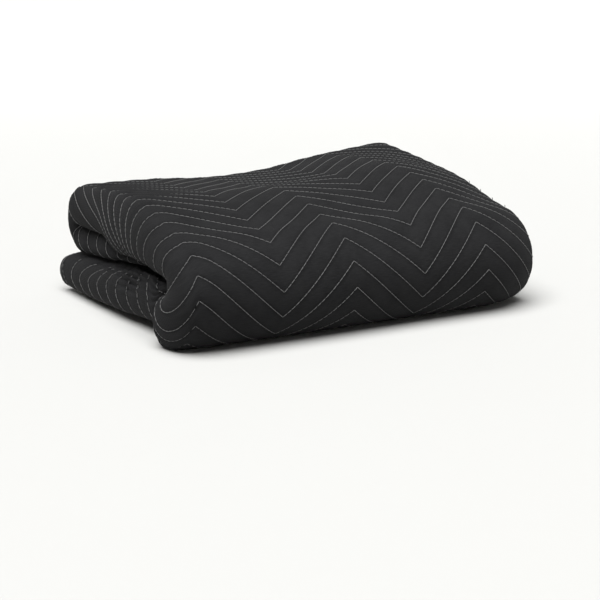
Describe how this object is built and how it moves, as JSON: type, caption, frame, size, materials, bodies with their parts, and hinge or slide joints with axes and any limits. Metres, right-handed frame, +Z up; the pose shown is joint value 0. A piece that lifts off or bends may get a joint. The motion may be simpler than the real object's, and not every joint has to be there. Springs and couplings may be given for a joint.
{
  "type": "folded moving pad",
  "caption": "Quilted moving pad with zigzag stitching, folded into a soft pile of many layers with a rolled front and folded ends.",
  "frame": {"origin": "on the floor under the middle of the folded pad's box", "axes": "+X along the long front roll, towards the higher end, +Y from the front roll to the open hems at the back, +Z up from the floor"},
  "size_m": [0.635, 0.5222, 0.2188],
  "materials": {
    "quilted_cloth": "matt woven cotton and polyester cover over a thin filling, quilted with grey thread"
  },
  "bodies": {
    "root": {"quilted_pad": "quilted_cloth"}
  },
  "joints": []
}
